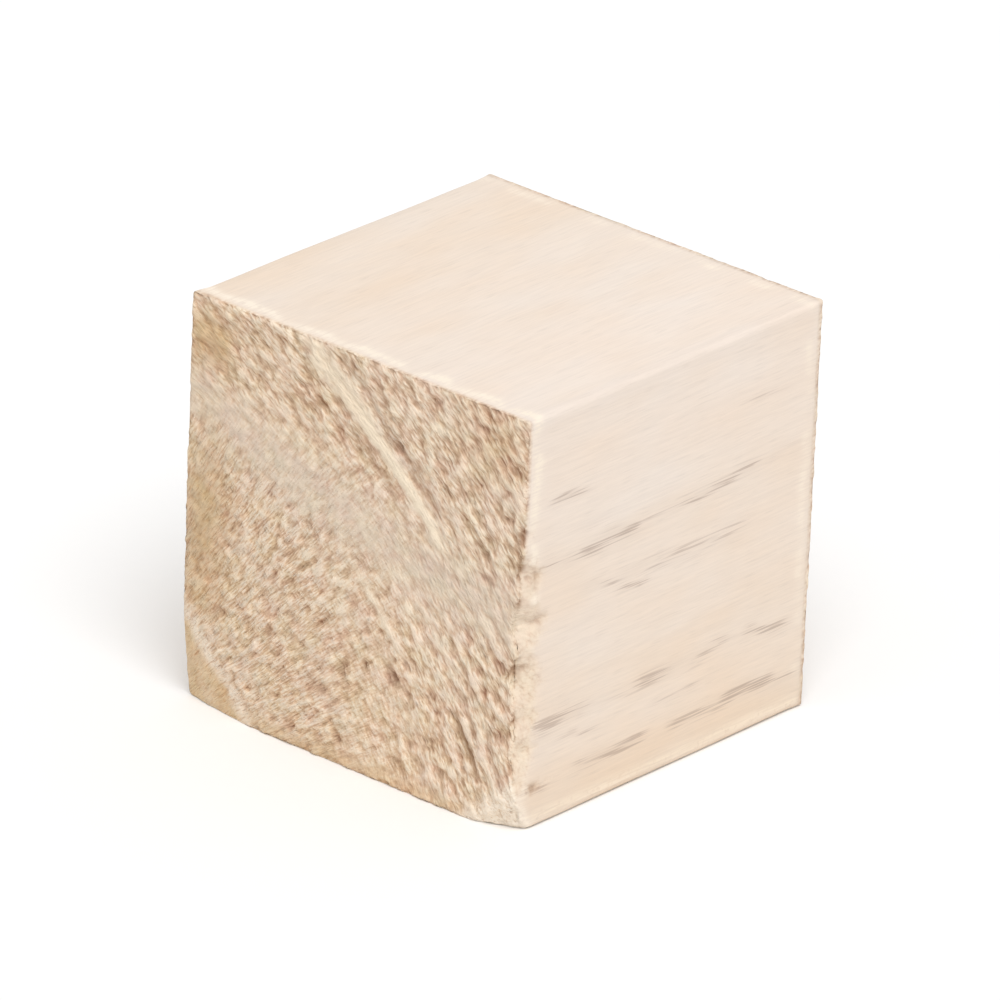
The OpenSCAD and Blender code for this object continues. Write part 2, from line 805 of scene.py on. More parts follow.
@dataclass(frozen=True)
class EasedEdges:
    """The twelve edges of the cube, rounded over unevenly as handling leaves them.

    The long planed edges are the rounder ones.  The rims of the sawn ends fray here and there.
    """

    planed: float = 0.4
    planed_unevenness: float = 0.3
    planed_patch: float = 7.0
    sawn: float = 0.22
    sawn_unevenness: float = 0.35
    sawn_patch: float = 2.3
    sawn_within: tuple[float, float] = (1.4, 0.3)
    fray: float = 1.6
    fray_size: float = 0.9
    fray_from: float = 0.15
    fray_in_noise: tuple[float, float, float] = (7.0, 3.0, 5.0)

    def ease(self, place: Vector, half: Vector) -> Vector:
        """Round the skin over at the cube's edges.

        Args:
            place: a place on the true box.
            half: the cube's half sizes.

        Returns:
            The same place on the eased skin.
        """
        near_end = ramp(*self.sawn_within, half.y - abs(place.y))
        uneven = 1 + self.planed_unevenness * noise.noise(place / self.planed_patch)
        planed = self.planed * uneven
        fray = noise.noise(place / self.fray_size + Vector(self.fray_in_noise))
        uneven = 1 + self.sawn_unevenness * noise.noise(place / self.sawn_patch)
        sawn = self.sawn * (uneven + self.fray * max(fray - self.fray_from, 0.0))
        radius = planed + (sawn - planed) * near_end
        inner = Vector([clamp(place[a], radius - half[a], half[a] - radius) for a in AXES])
        return inner + (place - inner).normalized() * radius


@dataclass(frozen=True)
class RubbedRimsAndHighlights:
    """Rims behind the ends' edges and above the base, pale from rubbing and painted highlight."""

    front: float = 1.3
    back: float = 0.3
    patchiness: float = 1.4
    patch: float = 1.1
    waver: float = 0.5
    behind: float = 0.95
    width: float = 0.35
    starts: tuple[float, float] = (0.0, 0.05)
    near_edge: tuple[float, float] = (0.85, 1.0)
    base: float = 0.9
    base_height: float = 0.6
    base_width: float = 0.4
    base_starts: tuple[float, float] = (0.3, 1.0)

    def at(self, place: Vector, half: Vector) -> float:
        """Give how rubbed a place is.

        Args:
            place: a place on the true box.
            half: the cube's half sizes.

        Returns:
            Give how pale a place is, from rubbing and from painted highlight.
        """
        from_end = half.y - abs(place.y)
        patchy = noise.noise(Vector((place.x, place.z, NoiseDepth.RIM)) / self.patch)
        strength = (self.front if place.y < 0 else self.back) + self.patchiness * patchy
        strength *= ramp(*self.near_edge, max(place.x / half.x, place.z / half.z))
        behind = bell(from_end - self.behind - self.waver * patchy, self.width)
        behind *= strength * ramp(*self.starts, from_end)
        above = bell(place.z + half.z - self.base_height, self.base_width)
        return max(behind, self.base * above * ramp(*self.base_starts, from_end), 0.0)


@dataclass(frozen=True)
class WarmReflectionAndAge:
    """Painted warm light reflected up round the cube's foot and front end's base, and the end's
    stains.
    """

    foot: float = 0.22
    foot_height: tuple[float, float] = (4.5, 0.5)
    foot_behind: tuple[float, float] = (0.0, 2.0)
    rim: float = 0.6
    rim_height: float = 0.2
    rim_width: float = 0.7
    end_depth: tuple[float, float] = (0.6, 0.0)

    def at(self, place: Vector, half: Vector, skin: SawnSkin) -> float:
        """Give how yellowed a place is.

        Args:
            place: a place on the true box.
            half: the cube's half sizes.
            skin: the sawn skin, which has stains of its own.

        Returns:
            A number from 0 to 1.
        """
        z, from_front = place.z + half.z, place.y + half.y
        foot = self.foot * ramp(*self.foot_height, z) * ramp(*self.foot_behind, from_front)
        end = max(skin.stain_and_reflection(place.x, z), self.rim * bell(z - self.rim_height, self.rim_width))
        return clamp(max(foot, end * ramp(*self.end_depth, from_front)))


@dataclass(frozen=True)
class Division:
    """How finely the block is divided along one axis, and how far that crowds to its ends."""

    cuts: int
    crowding: float

    def spread(self, share: float) -> float:
        """Move an even share from -1 to 1 outwards, so that divisions crowd at the edges."""
        return (1 - self.crowding) * share + self.crowding * math.sin(share * math.pi / 2)


@dataclass
class SkinValues:
    """What the finish needs to know of one place of the skin.

    Marked is below 0 where the skin is dark and above 0 where it is pale.  The others go from 0
    to 1, or some way past it.
    """

    sawn: float = 0.0
    torn: float = 0.0
    burnished: float = 0.0
    marked: float = 0.0
    # Yellowing by age, and by painted warm light reflected from below and beside.
    aged_and_reflected: float = 0.0
    # Painted shade along the planed edges, which tones down the lamp's highlight there.
    painted_edge_shade: float = 0.0
    resin: float = 0.0
    # Paleness from rubbing, and from a painted highlight along the rims.
    rubbed_and_highlit: float = 0.0


@dataclass
class PineCube:
    """The block itself: its mesh, the wear on it and the values that its finish reads.

    The spans are how far from an end the skin looks sawn, how far its tearing shows and how far
    it is worked out round the edges, and how deep resin lies behind the right face.
    """

    rings: GrowthRings
    edges: EasedEdges = EasedEdges()
    rims: RubbedRimsAndHighlights = RubbedRimsAndHighlights()
    warm_reflection_and_age: WarmReflectionAndAge = WarmReflectionAndAge()
    sawn_within: tuple[float, float] = (0.6, 0.15)
    tear_within: tuple[float, float] = (0.2, 0.0)
    tear_carried: float = 2.5
    edge_shade_width: float = 0.8
    resin_within: tuple[float, float] = (0.6, 0.2)
    knocks: tuple[Knock, ...] = (
        Knock(
            Side.RIGHT, width=3.8, length=2.0, height=3.1, roughness=0.16, grain=0.8,
            scuffed=(-0.6, 0.1), bulge=0.3, rub=1.3,
        ),
        Knock(
            Side.LEFT, width=6.3, length=0.9, height=6.4, roughness=0.06, grain=1.2,
            scuffed=(-0.08, 0.3), rub=0.15, rim=0.8, wear=0.6, age=0.8,
        ),
    )
    worn_edge: WornEdge = WornEdge()
    # Each is its height, its size and its depth.
    nicks: tuple[Nick, ...] = (
        Nick(18.4, 0.38, 0.20),
        Nick(16.4, 0.50, 0.30),
        Nick(14.3, 0.30, 0.14),
        Nick(10.1, 0.55, 0.32),
        Nick(7.1, 0.34, 0.16),
        Nick(12.8, 0.34, 0.10, y=1.6, darkness=0.3),
        Nick(15.6, 0.34, 0.08, y=1.3, darkness=0.3),
        Nick(2.5, 0.30, 0.08, y=1.7, darkness=0.35),
    )
    # Each is the Y where it starts and ends, its height there, its strength and its thickness.
    streaks: tuple[ResinStreak, ...] = (
        ResinStreak(5.8, 9.0, 15.9, 16.2, 0.72, 0.42),
        ResinStreak(2.6, 5.2, 16.0, 15.9, 0.45, 0.34),
        ResinStreak(9.8, 13.4, 16.3, 16.4, 0.25),
        ResinStreak(14.6, 19.4, 16.4, 16.8, 0.55, 0.36),
        ResinStreak(20.4, 23.8, 16.9, 17.0, 0.25),
        ResinStreak(6.2, 7.2, 17.5, 17.6, 0.25),
        ResinStreak(3.2, 4.4, 19.9, 19.8, 0.6),
        ResinStreak(9.4, 18.6, 13.3, 13.3, 0.30, 0.6),
        ResinStreak(9.5, 10.2, 12.7, 12.6, 0.6),
        ResinStreak(6.3, 8.1, 13.8, 13.3, 0.35, 0.30),
        ResinStreak(20.2, 21.9, 21.0, 20.9, 0.25),
        ResinStreak(2.4, 5.6, 6.2, 6.2, 0.5, 0.58),
        ResinStreak(6.9, 9.3, 6.0, 5.8, 0.25),
        ResinStreak(11.2, 12.9, 6.1, 6.2, 0.6, 0.46),
        ResinStreak(15.5, 17.3, 6.1, 6.4, 0.4, 0.50),
        ResinStreak(20.6, 22.5, 6.3, 5.8, 0.5, 0.44),
        ResinStreak(4.9, 5.9, 4.9, 4.6, 0.3),
        ResinStreak(12.6, 15.1, 4.5, 4.5, 0.3),
        ResinStreak(1.1, 1.9, 2.4, 2.4, 0.6),
        ResinStreak(6.2, 10.4, 2.7, 2.65, 0.62, 0.38),
        ResinStreak(14.0, 17.4, 2.5, 2.6, 0.35, 0.48),
        ResinStreak(18.8, 21.6, 2.8, 2.7, 0.80, 0.44),
        ResinStreak(22.7, 23.9, 2.5, 2.4, 0.35),
    )
    # Along X, Y and Z.  They make 197,200 triangles, and a piece may have 200,000.
    divisions: tuple[Division, Division, Division] = (
        Division(170, 0.35),
        Division(60, 0.8),
        Division(170, 0.35),
    )
    skin: SawnSkin = field(init=False)
    centre: Vector = field(init=False)
    half: Vector = field(init=False)

    def __post_init__(self) -> None:
        """Take the block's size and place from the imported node."""
        low, high = (Vector(corner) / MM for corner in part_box(NODE_NAME))
        self.centre, self.half = (low + high) / 2, (high - low) / 2
        self.skin = SawnSkin(self.rings)

    def build(self) -> bpy.types.Object:
        """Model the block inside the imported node's box.

        Returns:
            The finished piece, at the origin, unturned and unscaled.
        """
        block = bmesh.new()
        size = Matrix.Diagonal((*(2 * self.half), 1))
        bmesh.ops.create_cube(block, size=1.0, matrix=size)
        for axis in (0, 2, 1):  # across the grain both ways, then along it
            self._divide(block, axis)
        self._lay_out_map(block)
        self._shape(block)
        to_place = Matrix.Scale(MM, 4) @ Matrix.Translation(self.centre)
        bmesh.ops.transform(block, matrix=to_place, verts=block.verts)
        for face in block.faces:
            face.smooth = True
        return finished("pine_cube", block)

    def _divide(self, block: bmesh.types.BMesh, axis: int) -> None:
        """Divide every edge that runs along an axis, then crowd the divisions to its ends.

        Args:
            block: the block being made.
            axis: the axis to divide along.
        """
        division, half = self.divisions[axis], self.half[axis]
        along = [e for e in block.edges if abs((e.verts[0].co - e.verts[1].co)[axis]) > half]
        bmesh.ops.subdivide_edges(block, edges=along, cuts=division.cuts - 1, use_grid_fill=True)
        for vert in block.verts:
            vert.co[axis] = half * division.spread(vert.co[axis] / half)

    def _lay_out_map(self, block: bmesh.types.BMesh) -> None:
        """Give each side a rectangle of the map: the ends above, the long faces below.

        Args:
            block: the divided block, not yet shaped.
        """
        places = {
            Side.FRONT_END: (0.0, 0.5, 0.5, 0.5),
            Side.BACK_END: (0.5, 0.5, 0.5, 0.5),
            Side.RIGHT: (0.0, 0.0, 0.25, 0.5),
            Side.TOP: (0.25, 0.0, 0.25, 0.5),
            Side.LEFT: (0.5, 0.0, 0.25, 0.5),
            Side.BASE: (0.75, 0.0, 0.25, 0.5),
        }
        margin = 0.003
        layer = block.loops.layers.uv.new("OFBake")
        block.normal_update()
        for face in block.faces:
            side = Side.facing(face.normal)
            left, bottom, width, height = places[side]
            axis, sign = side.value
            across, up = (0 if axis == 1 else 1), (0 if axis == 2 else 2)
            turn = sign if axis == 0 else -sign
            for loop in face.loops:
                place = loop.vert.co
                u = (turn * place[across] / self.half[across] + 1) / 2
                v = (place[up] / self.half[up] + 1) / 2
                loop[layer].uv = (
                    left + margin + u * (width - 2 * margin),
                    bottom + margin + v * (height - 2 * margin),
                )

    def _shape(self, block: bmesh.types.BMesh) -> None:
        """Move the skin in from the true box, and note what its finish needs to know.

        Args:
            block: the divided block.
        """
        names = [value.name for value in fields(SkinValues)]
        layers = {name: block.verts.layers.float.new(name) for name in names}
        for vert in block.verts:
            values = SkinValues()
            shaped = self._tear(vert.co, values)
            shaped = self._wear(vert.co, shaped, values)
            shaped = self._dent(vert.co, shaped, values)
            vert.co = [clamp(shaped[a], -self.half[a], self.half[a]) for a in AXES]
            for name, layer in layers.items():
                vert[layer] = getattr(values, name)

    def _tear(self, place: Vector, values: SkinValues) -> Vector:
        """Ease the cube's edges, and tear the skin near its ends as the saw did.

        Args:
            place: a place on the true box.
            values: what the finish needs to know there, filled in.

        Returns:
            The place on the sawn skin.
        """
        shaped = self.edges.ease(place, self.half)
        from_end = self.half.y - abs(place.y)
        values.sawn = ramp(*self.sawn_within, from_end)
        values.painted_edge_shade = self._painted_edge_shade(place)
        values.resin = self._resin(place)
        if from_end < self.tear_carried:
            front = place.y < 0
            x, z = self._unfold(place, from_end)
            depth = self.skin.depth(x, z, self.half.x, front)
            inwards = math.copysign(depth * ramp(*self.tear_within, from_end), place.y)
            shaped.y -= inwards
            values.torn = depth / self.skin.tear_depth
            values.burnished = self.skin.burnish(x, z, self.half.x, front)
            values.marked = self.skin.mark(x, z, 2 * self.half.z, front)
        return shaped

    def _wear(self, place: Vector, shaped: Vector, values: SkinValues) -> Vector:
        """Wear the upright edge and knock the bottom corners of the front end.

        Args:
            place: a place on the true box.
            shaped: the same place on the skin so far.
            values: what the finish needs to know there, changed by the wear.

        Returns:
            The place on the worn skin.
        """
        edge = self.worn_edge
        shaped, worn = edge.press(shaped, self.half)
        # Rim paleness is partly rubbing and partly a painted highlight along the edges.
        values.rubbed_and_highlit = max(self.rims.at(place, self.half) * (1 - worn), edge.rub * worn)
        values.sawn = max(values.sawn, edge.bareness * worn)
        values.torn *= 1 - edge.wear * worn
        # Yellowing by age, and by painted warm light reflected up round the foot and the front
        # end's base.
        reflected_and_aged = self.warm_reflection_and_age.at(place, self.half, self.skin)
        values.aged_and_reflected = max(reflected_and_aged, edge.age * clamp(worn))
        for knock in self.knocks:
            shaped, share = knock.press(shaped, place, self.half)
            values.rubbed_and_highlit = max(values.rubbed_and_highlit, knock.rubbed_and_highlit(share, place))
            values.aged_and_reflected = max(values.aged_and_reflected * (1 - share), knock.browned(share, place))
            values.torn *= 1 - knock.wear * share
        return shaped

    def _dent(self, place: Vector, shaped: Vector, values: SkinValues) -> Vector:
        """Press in the small dents along the worn edge, and darken them.

        Args:
            place: a place on the true box.
            shaped: the same place on the skin so far.
            values: what the finish needs to know there, changed by the dents.

        Returns:
            The place on the dented skin.
        """
        for nick in self.nicks:
            share = nick.at(place, self.half)
            shaped += nick.push(share)
            values.torn += nick.darkness * share
            values.marked -= nick.darkness * share
            values.sawn = max(values.sawn, nick.bareness * share)
            values.rubbed_and_highlit *= 1 - share
        return shaped

    def _unfold(self, place: Vector, from_end: float) -> tuple[float, float]:
        """Fold a place near an end out flat beside it, so that the tearing carries on round.

        Args:
            place: a place on the true box.
            from_end: how far it lies from the end.

        Returns:
            The X and the height of the place folded out.
        """
        x, z = place.x, place.z
        if self.half.x - abs(x) < self.half.z - abs(z):
            x += math.copysign(from_end, x)
        else:
            z += math.copysign(from_end, z)
        return x, z + self.half.z

    def _painted_edge_shade(self, place: Vector) -> float:
        """Give painted shade along the planed edges, which tones down the lamp's highlight there.
        """
        from_side, from_level = self.half.x - abs(place.x), self.half.z - abs(place.z)
        return bell(math.hypot(from_side, from_level), self.edge_shade_width)

    def _resin(self, place: Vector) -> float:
        """Give how strongly resin colours a place on the right face.

        Args:
            place: a place on the true box.

        Returns:
            A number from 0 to 1.
        """
        depth = self.half.x - place.x
        if depth > max(self.resin_within):
            return 0.0
        y, z = place.y + self.half.y, place.z + self.half.z
        streaks = max(streak.at(y, z) for streak in self.streaks)
        return streaks * ramp(*self.resin_within, depth)


@dataclass(frozen=True)
class GrainNoise:
    """A noise drawn out along the grain: how thick and how long its marks are."""

    thick: float
    long: float
    detail: float
    roughness: float = 0.5

    def over(self, tree: Tree, place: Socket) -> Socket:
        """Lay the noise over a piece.

        Args:
            tree: the material's tree.
            place: where the skin is.

        Returns:
            The noise's socket, from 0 to 1.
        """
        size = [1 / (length * MM) for length in (self.thick, self.long, self.thick)]
        drawn = add(tree, "VectorMath", {0: place, 1: size}, operation="MULTIPLY")
        drawn = {"Vector": drawn, "Scale": 1.0, "Detail": self.detail, "Roughness": self.roughness}
        return add(tree, "TexNoise", drawn)


@dataclass(frozen=True)
class Shade:
    """A colour that comes in as a value goes from one number to another, up to a share."""

    start: float
    full: float
    most: float
    colour: str

    def over(self, tree: Tree, value: Socket, wood: Socket) -> Socket:
        """Lay the shade over the wood's colour so far.

        Args:
            tree: the material's tree.
            value: what brings the shade in.
            wood: the wood's colour so far.

        Returns:
            The shaded colour's socket.
        """
        share = {"Value": value, "From Min": self.start, "From Max": self.full}
        share = add(tree, "MapRange", share | {"To Max": self.most})
        wood = {SHARE: share, COLOUR_A: wood, COLOUR_B: linear(self.colour)}
        return add(tree, "Mix", wood, MIXED_COLOUR, data_type="RGBA")


@dataclass(frozen=True)
class UnfinishedPine:
    """Pale pine with nothing put on it, planed along the grain and sawn across it.

    Planing leaves a smooth, dull, creamy face with fine fibres and a few thin resin streaks.
    Sawing across leaves a darker and browner face, speckled where bundles of fibres tore out.
    """

    rings: GrowthRings
    outer_wood: str = "#F3E4D7"
    inner_wood: str = "#E9D4BC"
    summer_wood: str = "#DDBF98"
    resin: str = "#94796A"
    sawn_outer: str = "#DBBEA3"
    sawn_inner: str = "#E2C19F"
    burnished_wood: str = "#D8C5B2"
    rubbed_and_highlit_wood: str = "#FDEFDD"
    aged_and_reflected_tint: str = "#EADCC2"
    # Fibre tips are partly the wood's pale colour and partly a painted highlight; torn hollows are
    # partly its darker colour and partly painted shade.
    fibre_tips_and_highlights: Shade = Shade(2.1, 1.55, 0.9, "#F8E6D0")
    torn_hollows_and_shade: Shade = Shade(2.05, 2.95, 0.95, "#976A4C")
    # Pale marks are ring lines and painted highlights at the rims; dark marks are dark ring lines,
    # painted shadow and dents.
    ring_lines_and_highlights: Shade = Shade(0.0, 1.0, 0.88, "#F9E8CF")
    dark_lines_and_shadows: Shade = Shade(0.0, -1.0, 0.8, "#8F6848")
    # Fibres are 3 mm long and some 0.03 mm thick, too fine to show, so they are drawn at 0.15.
    fibres: GrainNoise = GrainNoise(0.15, 3.0, 3.0, 0.6)
    # The mouths of cut fibres show as fine dark lines, drawn 0.09 mm wide to be seen at all.
    mouths: GrainNoise = GrainNoise(0.09, 1.6, 0.0)
    # Resin runs in canals, which show as a few fine lines side by side in each streak.
    canals: GrainNoise = GrainNoise(0.12, 4.0, 1.0)
    mottle: GrainNoise = GrainNoise(4.0, 9.0, 2.0)
    inner_radius: float = 34.0
    outer_radius: float = 66.0
    ring_waver: float = 0.8
    ring_waver_size: float = 9.0
    ring_start: float = 0.4
    # Torn fibres are as thin as planed ones, so the finest that show are drawn at 0.11 mm.
    torn_long: float = 0.44
    torn_thick: float = 0.11
    torn_weight: float = 3.0
    tint_size: float = 1.3
    dust_size: float = 0.7
    # The blade's teeth leave scratches about 0.15 mm apart.
    scratch_long: float = 3.0
    scratch_apart: float = 0.15
    blade_turn: float = -0.3
    burnish_share: float = 0.6
    planed_roughness: float = 0.6
    sawn_roughness: float = 0.9
    planed_relief: float = 0.010
    sawn_relief: float = 0.16
    ior: float = 1.5

    def material(self) -> bpy.types.Material:
        """Make the material.

        Returns:
            A material that reads Object coordinates and the piece's own values.
        """
        material = bpy.data.materials.new("unfinished pine, planed and sawn")
        tree = blank(material)
        place = add(tree, "TexCoord", output="Object")
        pith = (-self.rings.pith_x * MM, 0, -self.rings.pith_z * MM)
        from_pith = add(tree, "Mapping", {"Vector": place, "Location": pith})
        across = add(tree, "VectorMath", {0: from_pith, 1: (1, 0, 1)}, operation="MULTIPLY")
        radius = add(tree, "VectorMath", {0: across}, "Value", operation="LENGTH")
        age = {"From Min": self.inner_radius * MM, "From Max": self.outer_radius * MM}
        age = add(tree, "MapRange", age | {"Value": radius})
        fibres = self.fibres.over(tree, place)
        specks = self._specks(tree, place, from_pith, radius)

        on_end = add(tree, "Attribute", output="Fac", attribute_name="sawn")
        planed = self._planed(tree, place, radius, age, fibres)
        sawn = self._sawn(tree, place, age, specks)
        colour = {SHARE: on_end, COLOUR_A: planed, COLOUR_B: sawn}
        colour = add(tree, "Mix", colour, MIXED_COLOUR, data_type="RGBA")
        colour = self._worn(tree, colour, fibres, specks)

        roughness = {"To Min": self.planed_roughness, "To Max": self.sawn_roughness}
        roughness = add(tree, "MapRange", roughness | {"Value": on_end})
        relief = {0: fibres, 1: self.planed_relief * MM}
        planed_relief = add(tree, "Math", relief, operation="MULTIPLY")
        relief = {0: specks, 1: -self.sawn_relief * MM}
        sawn_relief = add(tree, "Math", relief, operation="MULTIPLY")
        relief = {SHARE: on_end, NUMBER_A: planed_relief, NUMBER_B: sawn_relief}
        relief = add(tree, "Mix", relief, data_type="FLOAT")
        normal = add(tree, "Bump", {"Height": relief, "Distance": 1.0})
        shader = {"Base Color": colour, "Roughness": roughness, "Normal": normal, "IOR": self.ior}
        add(tree, "OutputMaterial", {"Surface": add(tree, "BsdfPrincipled", shader)})
        return material

    def _worn(self, tree: Tree, colour: Socket, fibres: Socket, specks: Socket) -> Socket:
        """Pale the wood where it is rubbed and where a highlight is painted, and yellow it where
        it has aged and where warm reflected light is painted.

        Args:
            tree: the material's tree.
            colour: the wood's colour so far.
            fibres: the pattern of the fibres.
            specks: the pattern of the finest torn fibres.

        Returns:
            The colour's socket.
        """
        rubbed_and_highlit = add(tree, "Attribute", output="Fac", attribute_name="rubbed_and_highlit")
        # Rubbing and the painted highlight along the rims pale the tips of torn fibres, and ridges
        # between planed ones, most of all.
        tips = {"Value": specks, "From Min": 0.66, "From Max": 0.52, "To Min": 0.25, "To Max": 0.8}
        ridges = {"Value": fibres, "From Min": 0.4, "From Max": 0.6, "To Min": 0.5, "To Max": 1.2}
        for proud in (tips, ridges):
            rubbed_and_highlit = {0: rubbed_and_highlit, 1: add(tree, "MapRange", proud)}
            rubbed_and_highlit = add(tree, "Math", rubbed_and_highlit, operation="MULTIPLY")
        colour = {SHARE: rubbed_and_highlit, COLOUR_A: colour, COLOUR_B: linear(self.rubbed_and_highlit_wood)}
        colour = add(tree, "Mix", colour, MIXED_COLOUR, data_type="RGBA")
        # Yellowing by age, and by painted warm reflected light.
        aged = add(tree, "Attribute", output="Fac", attribute_name="aged_and_reflected")
        colour = {SHARE: aged, COLOUR_A: colour, COLOUR_B: linear(self.aged_and_reflected_tint)}
        return add(tree, "Mix", colour, MIXED_COLOUR, data_type="RGBA", blend_type="MULTIPLY")

    def _specks(self, tree: Tree, place: Socket, from_pith: Socket, radius: Socket) -> Socket:
        """Make the pattern of the finest torn fibres on the sawn ends.

        They tear in small bundles with sharp gaps between them.

        Args:
            tree: the material's tree.
            place: where the skin is.
            from_pith: the same place from the pith.
            radius: its distance from the pith.

        Returns:
            The pattern's socket, from 0 to 1.
        """
        split = add(tree, "SeparateXYZ", {"Vector": from_pith}).node.outputs
        turn = add(tree, "Math", {0: split["Z"], 1: split["X"]}, operation="ARCTAN2")
        sweep = {0: turn, 1: self.rings.line_radius * MM}
        sweep = add(tree, "Math", sweep, operation="MULTIPLY")
        polar = add(tree, "CombineXYZ", {"X": radius, "Y": sweep, "Z": split["Y"]})
        long, thick = 1 / (self.torn_long * MM), 1 / (self.torn_thick * MM)
        strings = []
        for size in ((long, thick, thick / 2), (thick, long, thick / 2)):
            drawn = add(tree, "VectorMath", {0: polar, 1: size}, operation="MULTIPLY")
            gaps = add(tree, "TexVoronoi", {"Vector": drawn, "Scale": 0.65}, "Distance")
            gaps = {"Value": gaps, "From Min": 0.1, "From Max": 1.0, "To Min": 0.2, "To Max": 0.8}
            gaps = add(tree, "MapRange", gaps, clamp=False)
            drawn = add(tree, "TexNoise", {"Vector": drawn, "Scale": 1.0, "Detail": 2.0})
            both = {SHARE: 0.5, NUMBER_A: drawn, NUMBER_B: gaps}
            strings.append(add(tree, "Mix", both, data_type="FLOAT"))
        split = add(tree, "SeparateXYZ", {"Vector": place}).node.outputs
        turns = []
        for axis, (low, high) in (("X", TURN_ACROSS), ("Z", TURN_UP)):
            share = {"Value": split[axis], "From Min": low * MM, "From Max": high * MM}
            turns.append(add(tree, "MapRange", share))
        share = add(tree, "Math", dict(enumerate(turns)), operation="MAXIMUM")
        drawn = {SHARE: share, NUMBER_A: strings[0], NUMBER_B: strings[1]}
        return add(tree, "Mix", drawn, data_type="FLOAT")

    def _planed(
        self, tree: Tree, place: Socket, radius: Socket, age: Socket, fibres: Socket
    ) -> Socket:
        """Colour the planed faces: faint summer wood, fine fibres and resin streaks.

        Args:
            tree: the material's tree.
            place: where the skin is.
            radius: its distance from the pith.
            age: 0 for the inner wood and 1 for the outer.
            fibres: the pattern of the fibres.

        Returns:
            The colour's socket.
        """
        wood = {SHARE: age, COLOUR_A: linear(self.inner_wood), COLOUR_B: linear(self.outer_wood)}
        wood = add(tree, "Mix", wood, MIXED_COLOUR, data_type="RGBA")
        late = self._late_wood(tree, place, radius, age)
        wood = {SHARE: late, COLOUR_A: wood, COLOUR_B: linear(self.summer_wood)}
        wood = add(tree, "Mix", wood, MIXED_COLOUR, data_type="RGBA")

        warmth = {"Value": self.mottle.over(tree, place), "To Min": 0.86, "To Max": 1.14}
        warmth = add(tree, "MapRange", warmth | NOISE_SPAN)
        light = {"Value": fibres, "To Min": 0.965, "To Max": 1.03}
        light = add(tree, "MapRange", light | NOISE_SPAN)
        # Painted shade greys the planed edges, to tone down the lamp's highlight there.
        painted_edge_shade = add(tree, "Attribute", output="Fac", attribute_name="painted_edge_shade")
        painted_edge_shade = {"Value": painted_edge_shade, "To Min": 1.0, "To Max": 0.955}
        mouths = {"Value": self.mouths.over(tree, place), "From Min": 0.64, "From Max": 0.78}
        for shadow in (mouths | {"To Min": 1.0, "To Max": 0.95}, painted_edge_shade):
            light = {0: light, 1: add(tree, "MapRange", shadow)}
            light = add(tree, "Math", light, operation="MULTIPLY")
        wood = add(tree, "HueSaturation", {"Color": wood, "Saturation": warmth, "Value": light})

        resin = self._resin_share(tree, place)
        wood = {SHARE: resin, COLOUR_A: wood, COLOUR_B: linear(self.resin)}
        return add(tree, "Mix", wood, MIXED_COLOUR, data_type="RGBA")

    def _late_wood(self, tree: Tree, place: Socket, radius: Socket, age: Socket) -> Socket:
        """Give how far the wood is late wood, which darkens slowly outwards and ends sharply.

        Args:
            tree: the material's tree.
            place: where the skin is.
            radius: its distance from the pith.
            age: 0 for the inner wood, whose rings are clear, and 1 for the outer.

        Returns:
            The share's socket, from 0 to 1.
        """
        waver = {"Vector": place, "Scale": 1 / (self.ring_waver_size * MM), "Detail": 2.0}
        waver = {0: add(tree, "TexNoise", waver), 1: self.ring_waver * MM, 2: radius}
        wavy = add(tree, "Math", waver, operation="MULTIPLY_ADD")
        start = (self.rings.line_radius + self.ring_start) * MM
        turns = {"Value": wavy, "From Min": start, "From Max": start + self.rings.spacing * MM}
        turns = add(tree, "MapRange", turns, clamp=False)
        phase = add(tree, "Math", {0: turns}, operation="FRACT")
        late = {"Value": phase, "From Min": 0.45, "From Max": 0.95}
        late = add(tree, "MapRange", late, interpolation_type="SMOOTHSTEP")
        ended = add(tree, "MapRange", {"Value": phase, "From Min": 1.0, "From Max": 0.96})
        contrast = {"Value": age, "From Max": 0.6, "To Min": 0.6, "To Max": 0.04}
        contrast = add(tree, "MapRange", contrast, interpolation_type="SMOOTHSTEP")
        for share in (ended, contrast):
            late = add(tree, "Math", {0: late, 1: share}, operation="MULTIPLY")
        return late

    def _resin_share(self, tree: Tree, place: Socket) -> Socket:
        """Give how far resin colours the wood: a faint stain with fine dark canals inside it.

        Args:
            tree: the material's tree.
            place: where the skin is.

        Returns:
            The share's socket, from 0 to 1.
        """
        resin = add(tree, "Attribute", output="Fac", attribute_name="resin")
        resin = add(tree, "Math", {0: resin, 1: STREAK_SHARPNESS}, operation="POWER")
        canals = {0: resin, 1: 0.35, 2: self.canals.over(tree, place)}
        filled = add(tree, "Math", canals, operation="MULTIPLY_ADD")
        filled = {"Value": filled, "From Min": 0.60, "From Max": 0.78, "To Max": 0.4}
        filled = add(tree, "MapRange", filled, interpolation_type="SMOOTHSTEP")
        inside = add(tree, "MapRange", {"Value": resin, "From Max": 0.35})
        filled = add(tree, "Math", {0: filled, 1: inside}, operation="MULTIPLY")
        return add(tree, "Math", {0: resin, 1: 0.15, 2: filled}, operation="MULTIPLY_ADD")

